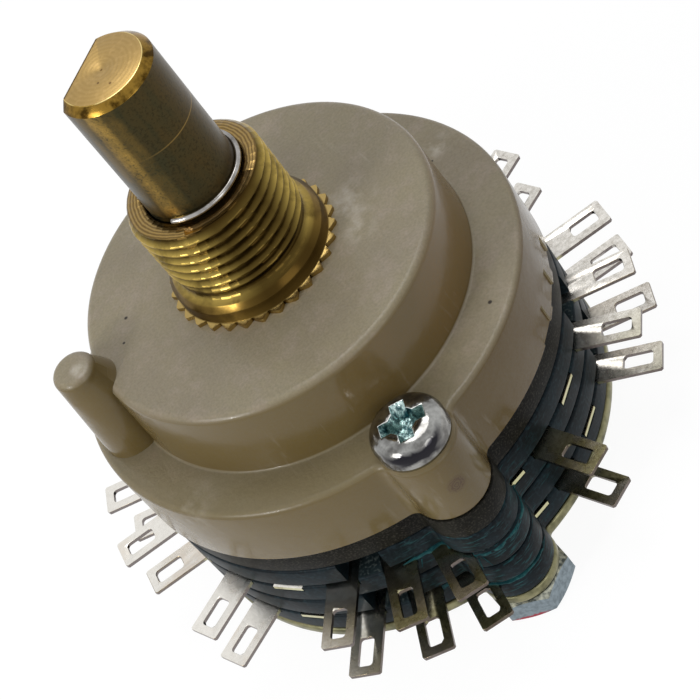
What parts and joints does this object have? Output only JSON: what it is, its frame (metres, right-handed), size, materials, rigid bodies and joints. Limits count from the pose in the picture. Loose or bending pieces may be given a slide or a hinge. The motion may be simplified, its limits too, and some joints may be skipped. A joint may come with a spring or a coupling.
{
  "type": "wafer rotary switch",
  "caption": "Rotary wafer switch with a D-flat brass shaft, threaded panel bush, beige moulded housing and two wafers of solder lugs.",
  "frame": {"origin": "on the shaft's axis, level with the lower faces of the two nuts that the switch stands on", "axes": "+Z along the shaft, out of the panel towards the knob; the two screws lie on -Y and +Y"},
  "size_m": [0.0392, 0.039, 0.0411],
  "materials": {
    "aged_brass": "aged dark brown, dull",
    "bright_brass": "machined, bright",
    "spring_steel": "bright drawn",
    "beige_nylon": "moulded, soft gloss",
    "white_acetal": "moulded, matte",
    "dark_plate": "satin, speckled",
    "teal_moulding": "moulded, satin",
    "nickel_plate": "nickel plated",
    "tinned_lug": "tin plated, satin",
    "phosphor_bronze": "sprung strip, satin",
    "zinc_steel": "zinc plated, bright"
  },
  "bodies": {
    "fixed": {"bush": "bright_brass", "housing": "beige_nylon", "stop_ring": "spring_steel", "detent_spring_right": "spring_steel", "detent_spring_left": "spring_steel", "index_plate": "dark_plate", "wafer_a_front": "teal_moulding", "wafer_a_back": "teal_moulding", "wafer_b_front": "teal_moulding", "wafer_b_back": "teal_moulding", "back_plate": "nickel_plate", "screw_front": "zinc_steel", "screw_rear": "zinc_steel", "nut_front": "zinc_steel", "nut_rear": "zinc_steel", "way_contact_a01": "tinned_lug", "way_contact_a02": "tinned_lug", "way_contact_a03": "tinned_lug", "way_contact_a04": "tinned_lug", "way_contact_a05": "tinned_lug", "way_contact_a06": "tinned_lug", "way_contact_a07": "tinned_lug", "way_contact_a08": "tinned_lug", "way_contact_a09": "tinned_lug", "way_contact_a10": "tinned_lug", "way_contact_a11": "tinned_lug", "way_contact_a12": "tinned_lug", "common_contact_a1": "tinned_lug", "common_contact_a2": "tinned_lug", "common_contact_a3": "tinned_lug", "common_contact_a4": "tinned_lug", "way_contact_b01": "tinned_lug", "way_contact_b02": "tinned_lug", "way_contact_b03": "tinned_lug", "way_contact_b04": "tinned_lug", "way_contact_b05": "tinned_lug", "way_contact_b06": "tinned_lug", "way_contact_b07": "tinned_lug", "way_contact_b08": "tinned_lug", "way_contact_b09": "tinned_lug", "way_contact_b10": "tinned_lug", "way_contact_b11": "tinned_lug", "way_contact_b12": "tinned_lug", "common_contact_b1": "tinned_lug", "common_contact_b2": "tinned_lug", "common_contact_b3": "tinned_lug", "common_contact_b4": "tinned_lug"},
    "turning": {"shaft": "aged_brass", "retaining_ring": "spring_steel", "index_rotor": "white_acetal", "rotor_a": "white_acetal", "rotor_b": "white_acetal", "wiper_a1": "phosphor_bronze", "wiper_a2": "phosphor_bronze", "wiper_a3": "phosphor_bronze", "wiper_a4": "phosphor_bronze", "wiper_b1": "phosphor_bronze", "wiper_b2": "phosphor_bronze", "wiper_b3": "phosphor_bronze", "wiper_b4": "phosphor_bronze"}
  },
  "joints": [
    {"name": "shaft_turn", "type": "hinge", "parent": "fixed", "child": "turning", "pos_m": [0, 0, 0.0231], "axis": [0, 0, 1], "range_deg": [-30, 30], "deforming": ["detent_spring_right", "detent_spring_left"]}
  ]
}
